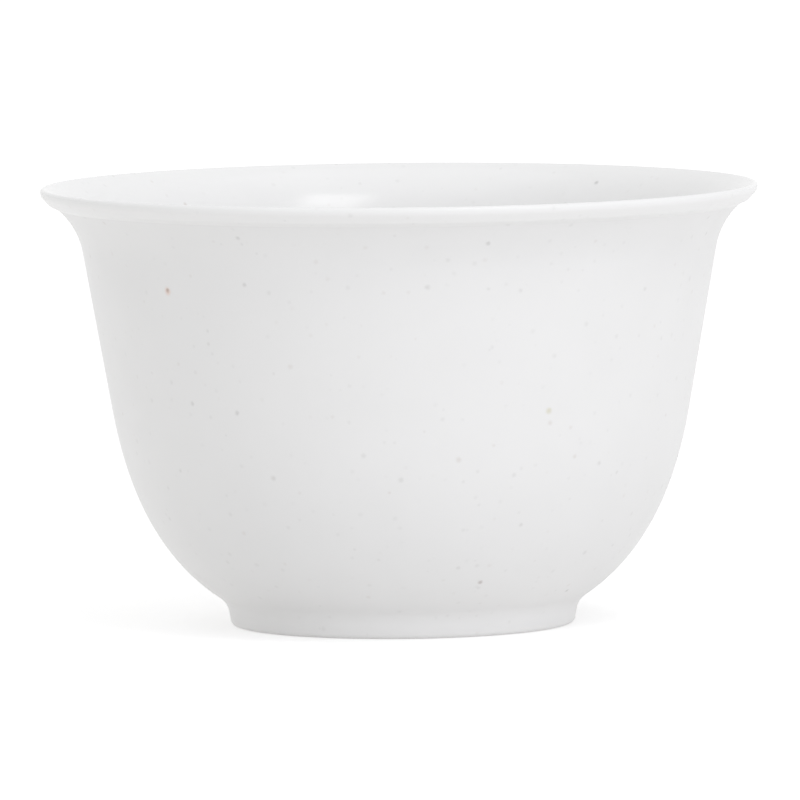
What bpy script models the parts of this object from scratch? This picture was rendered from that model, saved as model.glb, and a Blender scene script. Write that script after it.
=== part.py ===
import math

import bmesh
import bpy
from mathutils import Vector

# Sizes in metres
MOUTH_DIAMETER = 0.075        # across the lip
CUP_HEIGHT = 0.046            # from the table to the top of the lip
SHELL_THICKNESS = 0.00055     # pressed fibre wall and floor
LINING_THICKNESS = 0.0002     # barrier lining
BOND_LINE = 0.00025           # gap that the bond fills between two pieces

BELLY_TOP = 0.0225            # height where the belly runs into the straight wall
BELLY_LOW_PULL = 0.0079       # how far the belly's curve is drawn along the heel
BELLY_HIGH_PULL = 0.0076      # how far the belly's curve is drawn along the wall
HEEL_RADIUS = 0.0041          # outside bend from the floor up to the belly
HEEL_RUN = 0.0012             # straight run of the bowl's underside above the foot

FLARE_RADIUS = 0.0081         # outside of the flare below the lip
LIP_LENGTH = 0.0016           # lip ring, down the outside of the flare
LIP_LEG_LENGTH = 0.0015       # leg of the lip ring, down the inside of the shell
LIP_TOP_ROUND = 0.00035       # upper edge of the lip
LIP_LOWER_ROUND = 0.0009      # outside of the lip, down to its flank

FOOT_DIAMETER = 0.0368        # across the foot ring
FOOT_WIDTH = 0.0027           # foot ring, from its outer to its inner face
FLOOR_CLEARANCE = 0.0017      # from the table to the underside of the floor
FOOT_OUTER_ROUND = 0.0006     # lower outer edge of the foot
FOOT_INNER_ROUND = 0.0004     # lower inner edge of the foot
FOOT_FILLET = 0.0012          # from the foot's side out to the bowl
FOOT_FLANGE_EDGE = 0.00015    # blunt edge where the fillet ends

# Leans from upright in degrees
WALL_LEAN = 10.0              # straight wall
HEEL_LEAN = 56.0              # bowl's underside above the foot
FLARE_LEAN = 60.0             # wall at the lip
LIP_FLANK_LEAN = 42.0         # outside of the lip above its lower edge
LIP_UNDERSIDE_LEAN = 66.0     # underside of the lip, back to the bowl
FOOT_DRAFT = 10.0             # side of the foot, wider at the top

# Counts
SIDES = 48                    # facets around every turned piece
HEEL_STEPS = 3
BELLY_STEPS = 8
FLARE_STEPS = 4
LIP_STEPS = 2
ROUND_STEPS = 3

WELD_DISTANCE = 0.000001
SHARP_ANGLE = math.radians(40.0)

# Values that follow from the sizes
wall_lean = math.radians(WALL_LEAN)
heel_lean = math.radians(HEEL_LEAN)
flare_lean = math.radians(FLARE_LEAN)
flank_lean = math.radians(LIP_FLANK_LEAN)
underside_lean = math.radians(LIP_UNDERSIDE_LEAN)
foot_draft = math.radians(FOOT_DRAFT)
floor_lean = math.pi / 2
mouth_radius = MOUTH_DIAMETER / 2
foot_radius = FOOT_DIAMETER / 2
lining_depth = SHELL_THICKNESS + BOND_LINE
wall_depth = lining_depth + LINING_THICKNESS
seam_lean = flare_lean - LIP_LENGTH / FLARE_RADIUS
leg_lean = seam_lean - LIP_LEG_LENGTH / FLARE_RADIUS
bond_turn = BOND_LINE / FLARE_RADIUS


def up_wall(lean):
    return Vector((math.sin(lean), math.cos(lean)))


def into_cup(lean):
    return Vector((-math.cos(lean), math.sin(lean)))


def spaced(first, last, steps):
    return [first + (last - first) * step / steps for step in range(steps + 1)]


def arc(centre, radius, first, last, steps):
    turns = spaced(first, last, steps)
    return [centre + radius * Vector((math.cos(turn), math.sin(turn))) for turn in turns]


def crossing(point, way, other_point, other_way):
    between = other_point - point
    along = between.x * other_way.y - between.y * other_way.x
    along = along / (way.x * other_way.y - way.y * other_way.x)
    return point + along * way


# The section is worked out as (radius, height) points. The lip comes first, because the flare hangs from it.
lip_top_centre = Vector((mouth_radius - LIP_TOP_ROUND, CUP_HEIGHT - LIP_TOP_ROUND))
lip_round_limit = wall_depth - LIP_TOP_ROUND * (1.0 + math.cos(flare_lean))
lip_round_limit = lip_round_limit / (1.0 - math.cos(flare_lean))
lip_lower_round = min(LIP_LOWER_ROUND, lip_round_limit)
lip_face = wall_depth - lip_lower_round - LIP_TOP_ROUND
lip_face = lip_face - (LIP_TOP_ROUND - lip_lower_round) * math.cos(flare_lean)
lip_face = lip_face / math.sin(flare_lean)
lip_lower_centre = Vector((mouth_radius - lip_lower_round, lip_top_centre.y - lip_face))
flare_end = lip_lower_centre - lip_lower_round * into_cup(flare_lean)
flare_centre = flare_end - FLARE_RADIUS * into_cup(flare_lean)
heel_start = foot_radius - HEEL_RADIUS * math.cos(heel_lean)
heel_centre = Vector((heel_start, FLOOR_CLEARANCE + HEEL_RADIUS))


def flare_stations(first, last, steps):
    leans = spaced(first, last, steps)
    return [(flare_centre + FLARE_RADIUS * into_cup(lean), lean) for lean in leans]


def heel_stations():
    leans = spaced(floor_lean, heel_lean, HEEL_STEPS)
    return [(heel_centre - HEEL_RADIUS * into_cup(lean), lean) for lean in leans]


def belly_stations():
    heel_end = heel_stations()[-1][0]
    flare_start = flare_centre + FLARE_RADIUS * into_cup(wall_lean)
    start = heel_end + HEEL_RUN * up_wall(heel_lean)
    finish_radius = flare_start.x - (flare_start.y - BELLY_TOP) * math.tan(wall_lean)
    finish = Vector((finish_radius, BELLY_TOP))
    low_pull = start + BELLY_LOW_PULL * up_wall(heel_lean)
    high_pull = finish - BELLY_HIGH_PULL * up_wall(wall_lean)
    stations = []
    for along in spaced(0.0, 1.0, BELLY_STEPS):
        back = 1.0 - along
        point = back**3 * start + 3 * back**2 * along * low_pull
        point = point + 3 * back * along**2 * high_pull + along**3 * finish
        way = back**2 * (low_pull - start) + 2 * back * along * (high_pull - low_pull)
        way = way + along**2 * (finish - high_pull)
        stations.append((point, math.atan2(way.x, way.y)))
    return stations


def bowl_stations(top_lean):
    floor_middle = (Vector((0.0, FLOOR_CLEARANCE)), floor_lean)
    flare = flare_stations(wall_lean, top_lean, FLARE_STEPS)
    return [floor_middle] + heel_stations() + belly_stations() + flare


def at_depth(stations, depth):
    return [point + depth * into_cup(lean) for point, lean in stations]


def finish_material(name, colour, roughness):
    material = bpy.data.materials.new(name)
    material.use_nodes = True
    shader = material.node_tree.nodes["Principled BSDF"]
    shader.inputs["Base Color"].default_value = (*colour, 1.0)
    shader.inputs["Roughness"].default_value = roughness
    shader.inputs["Metallic"].default_value = 0.0
    return material


def turned_piece(name, section, ring, material, parent):
    body = bmesh.new()
    corners = [body.verts.new((point.x, 0.0, point.y)) for point in section]
    runs = [body.edges.new(pair) for pair in zip(corners, corners[1:])]
    if ring:
        runs.append(body.edges.new((corners[-1], corners[0])))
    bmesh.ops.spin(
        body,
        geom=corners + runs,
        cent=(0.0, 0.0, 0.0),
        axis=(0.0, 0.0, 1.0),
        angle=math.tau,
        steps=SIDES,
        use_merge=True,
    )
    bmesh.ops.remove_doubles(body, verts=body.verts, dist=WELD_DISTANCE)
    bmesh.ops.recalc_face_normals(body, faces=body.faces)
    mesh = bpy.data.meshes.new(name)
    body.to_mesh(mesh)
    body.free()
    mesh.shade_smooth()
    mesh.set_sharp_from_angle(angle=SHARP_ANGLE)
    mesh.materials.append(material)
    piece = bpy.data.objects.new(name, mesh)
    piece.parent = parent
    bpy.context.scene.collection.objects.link(piece)
    return piece


def bowl_shell_section():
    stations = bowl_stations(seam_lean - bond_turn)
    outside = at_depth(stations, 0.0)
    inside = at_depth(stations, SHELL_THICKNESS)
    return outside + inside[::-1]


def inner_lining_section():
    stations = bowl_stations(leg_lean - bond_turn)
    outside = at_depth(stations, lining_depth)
    inside = at_depth(stations, wall_depth)
    return outside + inside[::-1]


def rim_lip_section():
    cap = flare_stations(seam_lean, flare_lean, LIP_STEPS)
    leg = flare_stations(leg_lean, seam_lean, LIP_STEPS)
    seam = cap[0][0]
    flank = arc(lip_lower_centre, lip_lower_round, -flank_lean, 0.0, ROUND_STEPS)
    lower_edge = crossing(seam, up_wall(underside_lean), flank[0], up_wall(flank_lean))
    upper_edge = arc(lip_top_centre, LIP_TOP_ROUND, 0.0, math.pi / 2, ROUND_STEPS)
    inner_edge = arc(lip_top_centre, LIP_TOP_ROUND, math.pi / 2, math.pi - flare_lean, LIP_STEPS)
    outside = [seam, lower_edge] + flank + upper_edge + inner_edge[1:]
    inside = at_depth(leg + cap[1:], wall_depth)[::-1]
    leg_back = at_depth(leg, lining_depth)
    return outside + inside + leg_back


def foot_ring_section():
    inner_radius = foot_radius - FOOT_WIDTH
    seat_radius = HEEL_RADIUS + BOND_LINE
    reach = max(inner_radius - heel_centre.x, 0.0)
    seat_leans = spaced(heel_lean, floor_lean - math.asin(reach / seat_radius), HEEL_STEPS)
    seat = [heel_centre - seat_radius * into_cup(lean) for lean in seat_leans]
    if inner_radius < heel_centre.x:
        seat.append(Vector((inner_radius, seat[-1].y)))
    flange = heel_centre - (seat_radius + FOOT_FLANGE_EDGE) * into_cup(heel_lean)
    heel_end = heel_centre - HEEL_RADIUS * into_cup(heel_lean)
    side_top = crossing(heel_end, up_wall(foot_draft), flange, up_wall(heel_lean))
    round_top = FOOT_OUTER_ROUND * (1.0 - math.sin(foot_draft))
    side_length = (side_top.y - round_top) / math.cos(foot_draft)
    fillet_run = math.tan((heel_lean - foot_draft) / 2)
    fillet_radius = min(FOOT_FILLET, side_length / fillet_run)
    fillet_centre = side_top - fillet_radius * fillet_run * up_wall(foot_draft)
    fillet_centre = fillet_centre - fillet_radius * into_cup(foot_draft)
    fillet = arc(fillet_centre, fillet_radius, math.pi - foot_draft, math.pi - heel_lean, ROUND_STEPS)
    flange_edge = fillet[-1] + FOOT_FLANGE_EDGE * into_cup(heel_lean)
    outer_corner = side_top - side_length * up_wall(foot_draft)
    outer_corner = outer_corner + FOOT_OUTER_ROUND * into_cup(foot_draft)
    inner_corner = Vector((inner_radius + FOOT_INNER_ROUND, FOOT_INNER_ROUND))
    outer_edge = arc(outer_corner, FOOT_OUTER_ROUND, -math.pi / 2, -foot_draft, ROUND_STEPS)
    inner_edge = arc(inner_corner, FOOT_INNER_ROUND, math.pi, math.pi * 3 / 2, ROUND_STEPS)
    return outer_edge + fillet + [flange_edge] + seat + inner_edge


def build_cup():
    for old_object in list(bpy.data.objects):
        bpy.data.objects.remove(old_object)
    cup = bpy.data.objects.new("tea_cup", None)
    bpy.context.scene.collection.objects.link(cup)
    fibre = finish_material("pressed_fibre", (0.80, 0.795, 0.785), 0.5)
    film = finish_material("barrier_film", (0.83, 0.83, 0.825), 0.28)
    lip_fibre = finish_material("lip_fibre", (0.81, 0.805, 0.795), 0.42)
    foot_fibre = finish_material("foot_fibre", (0.79, 0.785, 0.775), 0.5)
    turned_piece("bowl_shell", bowl_shell_section(), False, fibre, cup)
    turned_piece("inner_lining", inner_lining_section(), False, film, cup)
    turned_piece("rim_lip", rim_lip_section(), True, lip_fibre, cup)
    turned_piece("foot_ring", foot_ring_section(), True, foot_fibre, cup)


build_cup()
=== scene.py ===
import math

import bpy
from mathutils import Euler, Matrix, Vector


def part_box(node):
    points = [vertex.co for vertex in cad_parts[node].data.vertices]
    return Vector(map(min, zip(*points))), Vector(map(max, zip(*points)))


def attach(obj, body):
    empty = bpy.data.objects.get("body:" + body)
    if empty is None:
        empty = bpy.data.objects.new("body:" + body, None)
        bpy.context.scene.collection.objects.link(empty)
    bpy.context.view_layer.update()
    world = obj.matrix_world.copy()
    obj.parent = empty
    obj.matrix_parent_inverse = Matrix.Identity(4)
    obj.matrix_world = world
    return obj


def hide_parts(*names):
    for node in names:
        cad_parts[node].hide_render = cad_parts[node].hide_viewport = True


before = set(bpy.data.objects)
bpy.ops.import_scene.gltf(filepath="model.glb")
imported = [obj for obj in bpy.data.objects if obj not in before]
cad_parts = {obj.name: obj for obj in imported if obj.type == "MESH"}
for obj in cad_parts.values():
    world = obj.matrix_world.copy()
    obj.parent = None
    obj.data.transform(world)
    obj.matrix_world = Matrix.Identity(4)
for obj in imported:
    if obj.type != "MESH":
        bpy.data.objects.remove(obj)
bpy.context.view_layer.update()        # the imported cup, which stays as it is
print("frame loaded:", ", ".join(sorted(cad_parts)))

mm = 0.001
sides = 192        # facets round every turned piece
weldDistance = 0.001 * mm
creaseAngle = math.radians(40)
mixFrom, mixTo, mixed = 6, 7, 2        # the colour sockets of a Mix node

# the line that the whole cup is turned from, lengths in metres and leans in degrees from upright
cupLine = {
    "mouthRadius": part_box("rim_lip")[1].x,
    "height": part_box("rim_lip")[1].z,
    "floorHeight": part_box("bowl_shell")[0].z,
    "footRadius": 18.4 * mm,
    "wallDepth": 1.0 * mm,        # shell, bond and lining together
    "liningDepth": 0.8 * mm,        # from the outside to the back of the lining
    "wallLean": 10.0,
    "heelLean": 56.0,
    "flareLean": 60.0,
    "heelRadius": 4.1 * mm,
    "heelRun": 1.2 * mm,
    "bellyTop": 22.5 * mm,
    "bellyLowPull": 7.9 * mm,
    "bellyHighPull": 7.6 * mm,
    "flareRadius": 8.1 * mm,
    "lipTopRound": 0.35 * mm,
    "lipLowerRound": 0.9 * mm,
    "flankLean": 42.0,        # outside of the lip above its lower edge
    "undersideLean": 66.0,        # underside of the lip, back to the bowl
    "lipLength": 1.6 * mm,        # lip ring, down the outside
    "legLength": 1.5 * mm,        # its leg, further down the inside
    "seamStep": 0.1,        # degrees of a last short step, so that two pieces meet with one slope
}


def upWall(lean):
    return Vector((math.sin(lean), math.cos(lean)))


def intoCup(lean):
    return Vector((-math.cos(lean), math.sin(lean)))


def spread(first, last, steps):
    return [first + (last - first) * step / steps for step in range(steps + 1)]


def arcPoints(centre, radius, first, last, steps):
    turns = spread(first, last, steps)
    return [centre + radius * Vector((math.cos(turn), math.sin(turn))) for turn in turns]


def crossing(point, way, otherPoint, otherWay):
    between = otherPoint - point
    return point + way * (between.cross(otherWay) / way.cross(otherWay))


def roundedCorner(before, corner, after, radius, steps):        # an arc that touches both sides of a corner
    back, on = (before - corner).normalized(), (after - corner).normalized()
    half = back.angle(on) / 2
    centre = corner + (back + on).normalized() * radius / math.sin(half)
    start, finish = (corner + way * radius / math.tan(half) - centre for way in (back, on))
    first = math.atan2(start.y, start.x)
    turn = (math.atan2(finish.y, finish.x) - first + math.pi) % math.tau - math.pi
    return arcPoints(centre, radius, first, first + turn, steps)


wallLean = math.radians(cupLine["wallLean"])
heelLean = math.radians(cupLine["heelLean"])
flareLean = math.radians(cupLine["flareLean"])
flankLean = math.radians(cupLine["flankLean"])
undersideLean = math.radians(cupLine["undersideLean"])
seamStep = math.radians(cupLine["seamStep"])
floorLean = math.pi / 2
wallDepth, liningDepth = cupLine["wallDepth"], cupLine["liningDepth"]
topRound, lowerRound = cupLine["lipTopRound"], cupLine["lipLowerRound"]
flareRadius, heelRadius = cupLine["flareRadius"], cupLine["heelRadius"]
footRadius, floorHeight = cupLine["footRadius"], cupLine["floorHeight"]

# the lip's two rounds touch the inner and the outer face, and the flare hangs from the lower one
lipTop = Vector((cupLine["mouthRadius"] - topRound, cupLine["height"] - topRound))
lipFace = wallDepth - lowerRound - topRound - (topRound - lowerRound) * math.cos(flareLean)
lipLow = Vector((cupLine["mouthRadius"] - lowerRound, lipTop.y - lipFace / math.sin(flareLean)))
flareCentre = lipLow - (lowerRound + flareRadius) * intoCup(flareLean)
heelCentre = Vector((footRadius - heelRadius * math.cos(heelLean), floorHeight + heelRadius))
seamLean = flareLean - cupLine["lipLength"] / flareRadius
legLean = seamLean - cupLine["legLength"] / flareRadius


# stations are points along the outside of the cup, each with the lean of the wall there
def flareStations(leans):
    return [(flareCentre + flareRadius * intoCup(lean), lean) for lean in leans]


def heelStations(leans):
    return [(heelCentre - heelRadius * intoCup(lean), lean) for lean in leans]


def bellyStations(steps):        # one smooth curve from the heel up to the straight wall
    heelEnd, flareStart = heelStations([heelLean])[0][0], flareStations([wallLean])[0][0]
    start = heelEnd + cupLine["heelRun"] * upWall(heelLean)
    finish = flareStart - (flareStart.y - cupLine["bellyTop"]) / math.cos(wallLean) * upWall(wallLean)
    lowPull = start + cupLine["bellyLowPull"] * upWall(heelLean)
    highPull = finish - cupLine["bellyHighPull"] * upWall(wallLean)
    stations = []
    for along in spread(0, 1, steps):
        back = 1 - along
        point = (back**3 * start + 3 * back**2 * along * lowPull
                 + 3 * back * along**2 * highPull + along**3 * finish)
        way = (back**2 * (lowPull - start) + 2 * back * along * (highPull - lowPull)
               + along**2 * (finish - highPull))
        stations.append((point, math.atan2(way.x, way.y)))
    return stations


def bowlStations(topLean, steps):
    baseRadii = spread(0, heelCentre.x, steps["floor"])
    base = [(Vector((radius, floorHeight)), floorLean) for radius in baseRadii]
    heel = heelStations(spread(floorLean, heelLean, steps["heel"]))
    belly = bellyStations(steps["belly"])
    flare = flareStations(spread(wallLean, topLean - seamStep, steps["flare"]) + [topLean])
    wall = [(point, wallLean) for point in spread(belly[-1][0], flare[0][0], steps["wall"])]
    return base[:-1] + heel + belly + wall[1:-1] + flare


def atDepth(stations, depth):
    return [point + depth * intoCup(lean) for point, lean in stations]


def drawLine(name, line):        # a single vertex, extruded from point to point
    bpy.ops.object.select_all(action="DESELECT")
    bpy.ops.mesh.primitive_plane_add(size=mm, location=(0, 0, 0))
    piece = bpy.context.object
    piece.name = piece.data.name = name
    bpy.ops.object.mode_set(mode="EDIT")
    bpy.ops.mesh.select_all(action="SELECT")
    bpy.ops.mesh.merge(type="CENTER")
    bpy.ops.transform.translate(value=(line[0].x, 0, line[0].y))
    for here, there in zip(line, line[1:]):
        move = (there.x - here.x, 0, there.y - here.y)
        bpy.ops.mesh.extrude_region_move(TRANSFORM_OT_translate={"value": move})
    return piece


def spinLine():        # the drawn line becomes a turned skin, welded where its ends meet
    bpy.ops.mesh.select_all(action="SELECT")
    bpy.ops.mesh.remove_doubles(threshold=weldDistance)
    bpy.ops.mesh.spin(steps=sides, angle=math.tau, center=(0, 0, 0), axis=(0, 0, 1))
    bpy.ops.mesh.select_all(action="SELECT")
    bpy.ops.mesh.remove_doubles(threshold=weldDistance)
    bpy.ops.mesh.normals_make_consistent(inside=False)
    bpy.ops.object.mode_set(mode="OBJECT")


def dress(piece, node, material):
    bpy.ops.object.shade_smooth_by_angle(angle=creaseAngle)
    piece.data.materials.clear()
    piece.data.materials.append(material)
    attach(piece, "root")
    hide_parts(node)
    print(piece.name, "made:", len(piece.data.polygons), "faces")


def linear(hexColour):        # sRGB hex to linear, with full alpha
    channels = [int(hexColour[place:place + 2], 16) / 255 for place in (1, 3, 5)]
    return [c / 12.92 if c <= 0.04045 else ((c + 0.055) / 1.055) ** 2.4 for c in channels] + [1.0]


def addNode(tree, kind, settings, links):        # by the name of a setting, or the name or number of a socket
    node = tree.nodes.new(kind)
    for key, value in settings.items():
        if isinstance(key, str) and hasattr(node, key):
            setattr(node, key, value)
        else:
            node.inputs[key].default_value = value
    for key, source in links.items():
        tree.links.new(source, node.inputs[key])
    return node


# plant-fibre bioplastic, hot-pressed: an even satin white with bran flecks in it,
# most of them faint and grey, a few brown, and a very slight orange peel from the tool
fibreLook = {
    "white": "#EDEDED",
    "cloud": "#EAEAEA",        # the faintly greyer patches
    "cloudSize": 7 * mm,
    "cloudDetail": 2,
    "fleckGrey": "#8C8986",
    "fleckBrown": "#8E6A4C",
    "brownShare": 0.2,
    "fleckLayers": [        # a dust of bran all through it, its larger scales, and a few darker ones
        {"spacing": 1.6 * mm, "radius": (0.22 * mm, 0.42 * mm), "strength": (0.03, 0.10)},
        {"spacing": 3.2 * mm, "radius": (0.26 * mm, 0.46 * mm), "strength": (0.06, 0.16)},
        {"spacing": 5.2 * mm, "radius": (0.28 * mm, 0.44 * mm), "strength": (0.15, 0.26)},
    ],
    "bold": {"grey": "#7C7A78", "brown": "#7D6055", "husk": "#E08A38", "straw": "#B5AA4E"},
    "fleckCore": 0.1,        # share of a fleck's radius that has its full colour
    "ragSize": 0.3 * mm,        # grain of a fleck's ragged edge
    "ragDetail": 1,
    "rag": 0.12 * mm,        # how far that edge wanders
    "peelSize": 0.7 * mm,
    "peelDetail": 2,
    "peelDepth": 0.003 * mm,
    "ior": 1.48,
}


def radiusAt(line, height):
    for low, high in zip(line, line[1:]):
        if low.y <= height <= high.y:
            return low.x + (high.x - low.x) * (height - low.y) / (high.y - low.y)
    return line[-1].x


def fleckSpots(flecks, line):        # each fleck's point on a turned surface, with the rest of its row
    spots = []
    for turn, height, radius, strength, tint in flecks:
        turn, height = math.radians(turn), height * mm
        out = radiusAt(line, height)
        spot = Vector((math.sin(turn) * out, -math.cos(turn) * out, height))
        spots.append((spot, radius * mm, strength, tint))
    return spots


# the lip's painted light, a whiter outside, and its outer roughness are both laid on with this mask
def lipOutside(tree, place, look):        # 1 on the outside of the lip and 0 inside, by depth into the wall
    flat = addNode(tree, "ShaderNodeVectorMath", {"operation": "MULTIPLY", 1: (1, 1, 0)}, {0: place})
    out = addNode(tree, "ShaderNodeVectorMath", {"operation": "LENGTH"}, {0: flat.outputs[0]})
    up = addNode(tree, "ShaderNodeSeparateXYZ", {}, {0: place})
    section = addNode(tree, "ShaderNodeCombineXYZ", {}, {0: out.outputs["Value"], 1: up.outputs["Z"]})
    depth = addNode(tree, "ShaderNodeVectorMath", {"operation": "DISTANCE", 1: flareCentre.to_3d()},
                    {0: section.outputs[0]})
    deepest, least = flareRadius + look["whiteTo"], flareRadius + look["whiteFrom"]
    return addNode(tree, "ShaderNodeMapRange", {"From Min": deepest, "From Max": least},
                   {"Value": depth.outputs["Value"]}).outputs[0]


def scatterFlecks(tree, place, colour, layer, look):        # one to a cell, with size, strength, tint by lot
    cells = addNode(tree, "ShaderNodeTexVoronoi", {"Scale": 1 / layer["spacing"]}, {"Vector": place})
    lot = addNode(tree, "ShaderNodeSeparateColor", {}, {"Color": cells.outputs["Color"]})
    smallest, largest = (radius / layer["spacing"] for radius in layer["radius"])
    reach = addNode(tree, "ShaderNodeMapRange", {"To Min": smallest, "To Max": largest},
                    {"Value": lot.outputs["Green"]})
    inFleck = addNode(tree, "ShaderNodeMath", {"operation": "DIVIDE"},
                      {0: cells.outputs["Distance"], 1: reach.outputs[0]})
    faintest, boldest = layer["strength"]
    strength = addNode(tree, "ShaderNodeMapRange", {"To Min": faintest, "To Max": boldest},
                       {"Value": lot.outputs["Red"]})
    fleck = addNode(tree, "ShaderNodeMapRange",
                    {"interpolation_type": "SMOOTHSTEP", "From Min": 1.0, "From Max": look["fleckCore"]},
                    {"Value": inFleck.outputs[0], "To Max": strength.outputs[0]})
    brown = addNode(tree, "ShaderNodeMath", {"operation": "LESS_THAN", 1: look["brownShare"]},
                    {0: lot.outputs["Blue"]})
    grey, tan = linear(look["fleckGrey"]), linear(look["fleckBrown"])
    tint = addNode(tree, "ShaderNodeMix", {"data_type": "RGBA", mixFrom: grey, mixTo: tan},
                   {0: brown.outputs[0]})
    return addNode(tree, "ShaderNodeMix", {"data_type": "RGBA"},
                   {0: fleck.outputs[0], mixFrom: colour, mixTo: tint.outputs[mixed]}).outputs[mixed]


def placeFleck(tree, place, colour, spot, look):
    centre, radius, strength, tint = spot
    away = addNode(tree, "ShaderNodeVectorMath", {"operation": "DISTANCE", 1: centre}, {0: place})
    fleck = addNode(tree, "ShaderNodeMapRange",
                    {"interpolation_type": "SMOOTHSTEP", "From Min": radius,
                     "From Max": radius * look["fleckCore"], "To Max": strength},
                    {"Value": away.outputs["Value"]})
    return addNode(tree, "ShaderNodeMix", {"data_type": "RGBA", mixTo: linear(look["bold"][tint])},
                   {0: fleck.outputs[0], mixFrom: colour}).outputs[mixed]


def fibreMaterial(name, roughness, spots, look):
    material = bpy.data.materials.new(name)
    material.use_nodes = True
    tree = material.node_tree
    shader = tree.nodes["Principled BSDF"]
    place = addNode(tree, "ShaderNodeTexCoord", {}, {}).outputs["Object"]
    clouds = addNode(tree, "ShaderNodeTexNoise",
                     {"Scale": 1 / look["cloudSize"], "Detail": look["cloudDetail"]}, {"Vector": place})
    white, cloud = linear(look["white"]), linear(look["cloud"])
    colour = addNode(tree, "ShaderNodeMix", {"data_type": "RGBA", mixFrom: white, mixTo: cloud},
                     {0: clouds.outputs["Fac"]}).outputs[mixed]
    gloss = addNode(tree, "ShaderNodeMapRange", {"To Min": roughness[0], "To Max": roughness[1]},
                    {"Value": clouds.outputs["Fac"]}).outputs[0]
    # painted light: on the lip, the outside is painted whiter for the light that falls there, and given its
    # own roughness
    if "paintedLightWhite" in look:
        outside = lipOutside(tree, place, look)
        colour = addNode(tree, "ShaderNodeMix", {"data_type": "RGBA", mixTo: linear(look["paintedLightWhite"])},
                         {0: outside, mixFrom: colour}).outputs[mixed]
        gloss = addNode(tree, "ShaderNodeMapRange", {"To Max": look["outerRoughness"]},
                        {"Value": outside, "To Min": gloss}).outputs[0]
    # the flecks lie on ragged coordinates, so that none is a neat disc
    rag = addNode(tree, "ShaderNodeTexNoise",
                  {"Scale": 1 / look["ragSize"], "Detail": look["ragDetail"]}, {"Vector": place})
    ragged = addNode(tree, "ShaderNodeVectorMath", {"operation": "MULTIPLY_ADD", 1: [look["rag"]] * 3},
                     {0: rag.outputs["Color"], 2: place}).outputs[0]
    for layer in look["fleckLayers"]:
        colour = scatterFlecks(tree, ragged, colour, layer, look)
    for spot in spots:
        colour = placeFleck(tree, ragged, colour, spot, look)
    peel = addNode(tree, "ShaderNodeTexNoise",
                   {"Scale": 1 / look["peelSize"], "Detail": look["peelDetail"]}, {"Vector": place})
    bump = addNode(tree, "ShaderNodeBump", {"Distance": look["peelDepth"]}, {"Height": peel.outputs["Fac"]})
    tree.links.new(colour, shader.inputs["Base Color"])
    tree.links.new(gloss, shader.inputs["Roughness"])
    tree.links.new(bump.outputs[0], shader.inputs["Normal"])
    shader.inputs["IOR"].default_value = look["ior"]
    return material


# bowl shell: one thin pressing, wall and floor, satin as it comes from the tool
bowlShell = {
    "thickness": 0.55 * mm,
    "steps": {"floor": 8, "heel": 10, "belly": 28, "wall": 6, "flare": 26},
    "roughness": (0.38, 0.48),
    "boldFlecks": [        # degrees round from the front, height and radius in mm, strength and colour
        (-47.0, 36.7, 0.66, 0.30, "husk"),
        (-47.0, 36.8, 0.40, 0.50, "brown"),
        (30.0, 24.3, 0.52, 0.30, "straw"),
        (20.5, 6.2, 0.42, 0.40, "brown"),
        (54.0, 4.4, 0.36, 0.29, "grey"),
        (15.5, 42.0, 0.40, 0.26, "grey"),
        (-33.5, 24.3, 0.40, 0.26, "grey"),
        (-28.5, 42.6, 0.40, 0.21, "grey"),
        (118.0, 33.5, 0.56, 0.30, "husk"),
        (163.0, 17.0, 0.40, 0.30, "brown"),
    ],
}
shellStations = bowlStations(seamLean, bowlShell["steps"])
shellFace = atDepth(shellStations, 0)
shell = drawLine("bowlShell", shellFace + atDepth(shellStations, bowlShell["thickness"])[::-1])
spinLine()
outerSpots = fleckSpots(bowlShell["boldFlecks"], shellFace[bowlShell["steps"]["floor"]:])
shellFinish = fibreMaterial("pressedFibreSatin", bowlShell["roughness"], outerSpots, fibreLook)
dress(shell, "bowl_shell", shellFinish)

# inner lining: the thin clear film that the tea meets, laminated on, so the same white with a soft gloss
innerLining = {
    "steps": {"floor": 8, "heel": 10, "belly": 28, "wall": 6, "flare": 20},
    "roughness": (0.17, 0.21),
    "boldFlecks": [
        (142.5, 44.3, 0.40, 0.34, "grey"),
        (147.5, 42.0, 0.38, 0.27, "grey"),
        (-60.0, 30.0, 0.42, 0.40, "brown"),
    ],
}
liningStations = bowlStations(legLean, innerLining["steps"])
liningBack = atDepth(liningStations, liningDepth)
lining = drawLine("innerLining", liningBack + atDepth(liningStations, wallDepth)[::-1])
spinLine()
innerFace = atDepth(liningStations + flareStations([seamLean, flareLean]), wallDepth)
innerSpots = fleckSpots(innerLining["boldFlecks"], innerFace[innerLining["steps"]["floor"]:])
liningFinish = fibreMaterial("barrierFilmGloss", innerLining["roughness"], innerSpots, fibreLook)
dress(lining, "inner_lining", liningFinish)

# rim lip: the rounded ring that caps the shell's edge and laps down over the lining,
# as glossy as the lining inside and satin outside, where a touch of white is painted light for the light that
# falls there
rimLip = {
    "capSteps": 10,
    "legSteps": 10,
    "lowerRoundSteps": 8,
    "upperRoundSteps": 8,
    "edgeRound": 0.6 * mm,        # lower edge of the lip
    "edgeSteps": 6,
    "roughness": (0.17, 0.21),
    "outside": {        # painted light, a whiter colour where light falls on the lip's outside, and its own roughness, which fade in between two depths in the wall
        # painted highlight: the lip's outside is painted whiter for the light that falls on it, not for a
        # colour of its own
        "paintedLightWhite": "#F0F0F0",
        "outerRoughness": 0.38,
        "whiteFrom": 0.55 * mm,
        "whiteTo": 0.85 * mm,
    },
}
capLeans = spread(seamLean, flareLean, rimLip["capSteps"])
legLeans = [legLean] + spread(legLean + seamStep, seamLean, rimLip["legSteps"])
lipSeam = flareStations([seamLean])[0][0]
lipFlank = arcPoints(lipLow, lowerRound, -flankLean, 0, rimLip["lowerRoundSteps"])
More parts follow.
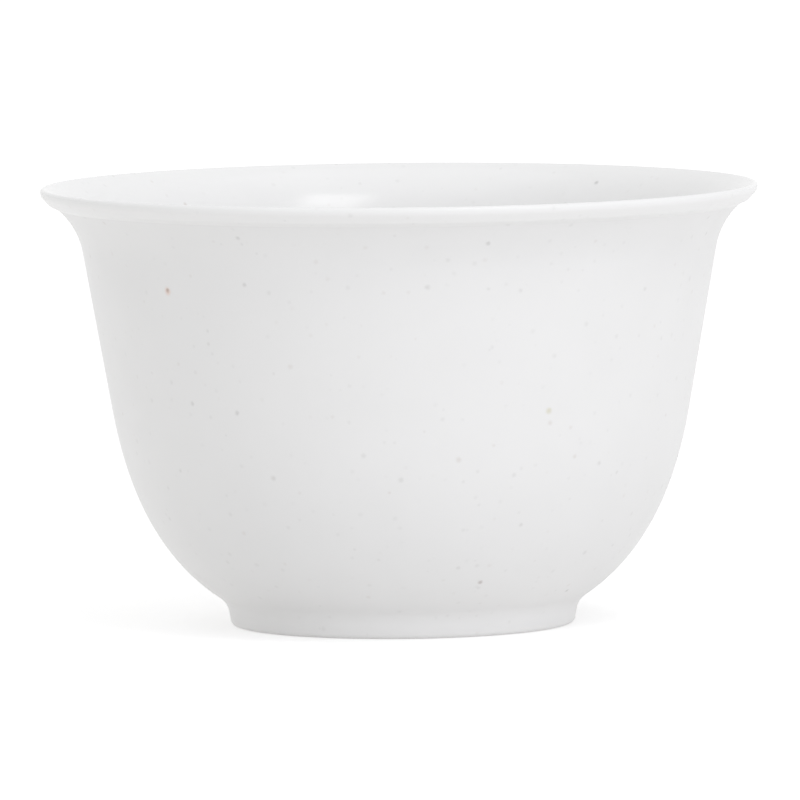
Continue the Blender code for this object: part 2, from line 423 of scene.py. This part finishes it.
lipEdge = crossing(lipSeam, upWall(undersideLean), lipFlank[0], upWall(flankLean))
lipLine = [lipSeam]
lipLine += roundedCorner(lipSeam, lipEdge, lipFlank[0], rimLip["edgeRound"], rimLip["edgeSteps"])
lipLine += lipFlank
lipLine += arcPoints(lipTop, topRound, 0, math.pi / 2, rimLip["upperRoundSteps"])
lipLine += arcPoints(lipTop, topRound, math.pi / 2, math.pi - flareLean, rimLip["upperRoundSteps"])[1:]
lipLine += atDepth(flareStations(legLeans + capLeans[1:-1]), wallDepth)[::-1]
lipLine += atDepth(flareStations(legLeans), liningDepth)
lip = drawLine("rimLip", lipLine + lipLine[:1])
spinLine()
lipLook = {**fibreLook, **rimLip["outside"]}
lipFinish = fibreMaterial("lipFibrePolished", rimLip["roughness"], innerSpots, lipLook)
dress(lip, "rim_lip", lipFinish)

# foot ring: bonded under the heel, its fillet run out on the bowl, and a little duller than the bowl
footRing = {
    "width": 2.7 * mm,
    "draft": 10.0,        # degrees that its side leans out, upwards
    "outerRound": 0.6 * mm,
    "innerRound": 0.4 * mm,
    "fillet": 2.4 * mm,
    "innerFillet": 0.5 * mm,
    "sink": 0.03 * mm,        # how far its back goes into the bond under the shell
    "roundSteps": 8,
    "seatSteps": 10,
    "roughness": (0.4, 0.5),
}
footInner, footDraft = footRadius - footRing["width"], math.radians(footRing["draft"])
roundSteps, sink = footRing["roundSteps"], footRing["sink"]
tableMiddle, floorMiddle = Vector((0, 0)), Vector((0, floorHeight))
tableWay = Vector((1, 0))
heelEnd = heelStations([heelLean])[0][0]
onHeel = heelEnd + upWall(heelLean)
outerFoot = crossing(heelEnd, upWall(footDraft), tableMiddle, tableWay)        # its side meets the table here
innerFoot, innerTop = Vector((footInner, 0)), Vector((footInner, floorHeight))
footLine = roundedCorner(tableMiddle, outerFoot, heelEnd, footRing["outerRound"], roundSteps)
footLine += roundedCorner(outerFoot, heelEnd, onHeel, footRing["fillet"], roundSteps)
footLine += [footLine[-1] + sink * intoCup(heelLean)]
footLine += atDepth(heelStations(spread(heelLean, floorLean, footRing["seatSteps"])), sink)
footLine += [Vector((footInner - footRing["innerFillet"], floorHeight + sink))]
footLine += roundedCorner(floorMiddle, innerTop, innerFoot, footRing["innerFillet"], roundSteps)
footLine += roundedCorner(innerTop, innerFoot, outerFoot, footRing["innerRound"], roundSteps)
foot = drawLine("footRing", footLine + footLine[:1])
spinLine()
footFinish = fibreMaterial("footFibreSatin", footRing["roughness"], outerSpots, fibreLook)
dress(foot, "foot_ring", footFinish)


def seenRay(tree):        # 1 for what is seen, also in a reflection or through glass, and 0 for other light
    ray = addNode(tree, "ShaderNodeLightPath", {}, {})
    seen = addNode(tree, "ShaderNodeMath", {"operation": "MAXIMUM"},
                   {0: ray.outputs["Is Camera Ray"], 1: ray.outputs["Is Glossy Ray"]})
    seen = addNode(tree, "ShaderNodeMath", {"operation": "MAXIMUM"},
                   {0: seen.outputs[0], 1: ray.outputs["Is Transmission Ray"]})
    return seen.outputs[0]


# floor: matt paper, uncoated, so it has no gloss and shows only the cup's soft shadow;
# it also gives off a little light, as a wide lit table throws up under a cup
paperFloor = {
    "size": 8.0,
    "colour": "#D8D8D8",
    "gap": 0.02 * mm,        # keeps the paper off the ring's flat face
    "glow": 0.185,        # light that it gives off beside the foot
    "glowSteps": [        # its change further out: from and to in metres, and by how much
        (0.02, 0.045, -0.10),
        (0.045, 0.08, 0.21),
        (0.15, 0.18, -0.28),
    ],
    "pools": [        # brighter places, one under the flare at the left and one before the foot
        {"centre": (-0.065, 0.03, 0), "radius": 0.07, "glow": 0.32},
        {"centre": (0.022, -0.028, 0), "radius": 0.04, "glow": 0.06},
    ],
    "glowColour": "#FFFCF8",
    "seenGlow": (0.46, 0.56),        # what is seen instead, near and far, so that the floor ends up white
    "seenColour": "#FFFFFF",
    "seenReach": (0.15, 1.4),
}


def paperMaterial(name, look):
    material = bpy.data.materials.new(name)
    material.use_nodes = True
    tree = material.node_tree
    tree.nodes.remove(tree.nodes["Principled BSDF"])
    place = addNode(tree, "ShaderNodeTexCoord", {}, {}).outputs["Object"]
    away = addNode(tree, "ShaderNodeVectorMath", {"operation": "LENGTH"}, {0: place}).outputs["Value"]
    changes = []
    for start, end, change in look["glowSteps"]:
        changes.append(addNode(tree, "ShaderNodeMapRange",
                               {"From Min": start, "From Max": end, "To Max": change}, {"Value": away}))
    for pool in look["pools"]:
        gone = addNode(tree, "ShaderNodeVectorMath", {"operation": "DISTANCE", 1: pool["centre"]},
                       {0: place})
        changes.append(addNode(tree, "ShaderNodeMapRange",
                               {"From Min": pool["radius"], "From Max": 0.0, "To Max": pool["glow"]},
                               {"Value": gone.outputs["Value"]}))
    given = addNode(tree, "ShaderNodeMath", {1: look["glow"]}, {0: changes[0].outputs[0]})
    for change in changes[1:]:
        given = addNode(tree, "ShaderNodeMath", {}, {0: given.outputs[0], 1: change.outputs[0]})
    near, far = look["seenReach"]
    nearGlow, farGlow = look["seenGlow"]
    shown = addNode(tree, "ShaderNodeMapRange",
                    {"From Min": near, "From Max": far, "To Min": nearGlow, "To Max": farGlow},
                    {"Value": away})
    seen = seenRay(tree)
    level = addNode(tree, "ShaderNodeMapRange", {},
                    {"Value": seen, "To Min": given.outputs[0], "To Max": shown.outputs[0]})
    givenTint, seenTint = linear(look["glowColour"]), linear(look["seenColour"])
    tint = addNode(tree, "ShaderNodeMix", {"data_type": "RGBA", mixFrom: givenTint, mixTo: seenTint},
                   {0: seen})
    matt = addNode(tree, "ShaderNodeBsdfDiffuse", {"Color": linear(look["colour"])}, {})
    glow = addNode(tree, "ShaderNodeEmission", {},
                   {"Strength": level.outputs[0], "Color": tint.outputs[mixed]})
    both = addNode(tree, "ShaderNodeAddShader", {}, {0: matt.outputs[0], 1: glow.outputs[0]})
    tree.links.new(both.outputs[0], tree.nodes["Material Output"].inputs["Surface"])
    return material


bpy.ops.object.select_all(action="DESELECT")
bpy.ops.mesh.primitive_plane_add(size=paperFloor["size"], location=(0, 0, -paperFloor["gap"]))
floor = bpy.context.object
floor.name = "floor"
floor.data.materials.append(paperMaterial("mattPaperFloor", paperFloor))
print("floor laid")

# studio: soft light from the right and from above, in a white room
studio = {
    "roomColour": "#FFFFFF",
    "ambient": 0.775,        # light from all round
    "seenRoom": 1.0,        # what is seen of the room instead, which is plain white
    "lamps": {        # turn round from the front and rise in degrees, distance and size in metres, watts
        "windowRight": {"turn": 35, "rise": 15, "far": 1.3, "size": 0.9, "power": 3.3, "colour": "#F7F8FF"},
        "softboxAbove": {"turn": 33, "rise": 54, "far": 1.2, "size": 0.4, "power": 1.75, "colour": "#FFFFFF"},
        "ceiling": {"turn": 0, "rise": 88, "far": 1.3, "size": 1.2, "power": 1.65, "colour": "#FFFFFF"},
    },
}
world = bpy.data.worlds.new("whiteRoom")
bpy.context.scene.world = world
world.use_nodes = True
room = world.node_tree
roomLevel = addNode(room, "ShaderNodeMapRange", {"To Min": studio["ambient"], "To Max": studio["seenRoom"]},
                    {"Value": seenRay(room)})
room.links.new(roomLevel.outputs[0], room.nodes["Background"].inputs["Strength"])
room.nodes["Background"].inputs["Color"].default_value = linear(studio["roomColour"])


def compass(turn, rise):        # a direction by degrees round from the front and up from level
    turn, rise = math.radians(turn), math.radians(rise)
    return Vector((math.sin(turn) * math.cos(rise), -math.cos(turn) * math.cos(rise), math.sin(rise)))


cupMiddle = Vector((0, 0, cupLine["height"] / 2))
for name, lamp in studio["lamps"].items():
    place = cupMiddle + lamp["far"] * compass(lamp["turn"], lamp["rise"])
    bpy.ops.object.light_add(type="AREA", location=place)
    light = bpy.context.object
    light.name = name
    light.data.size = lamp["size"]
    light.data.energy = lamp["power"]
    light.data.color = linear(lamp["colour"])[:3]
    light.rotation_euler = (light.location - cupMiddle).to_track_quat("Z", "Y").to_euler()
print("studio lit by", len(studio["lamps"]), "lamps and the room")

# camera: long lens from the front, a little above the lip
view = {
    "aim": (-0.1 * mm, 0, 23.40 * mm),
    "far": 1.346,
    "rise": 4.58,
    "roll": 0.57,
    "lens": 578.5,
    "clipEnd": 100,        # well past the far edge of the floor
}
bpy.ops.object.camera_add(location=Vector(view["aim"]) + view["far"] * compass(0, view["rise"]))
camera = bpy.context.object
camera.rotation_mode = "ZYX"        # the roll comes first, then the tilt
camera.rotation_euler = Euler((math.radians(90 - view["rise"]), 0, -math.radians(view["roll"])), "ZYX")
camera.data.lens = view["lens"]
camera.data.clip_end = view["clipEnd"]
bpy.context.scene.camera = camera
bpy.context.scene.view_settings.view_transform = "Standard"
print("camera set")
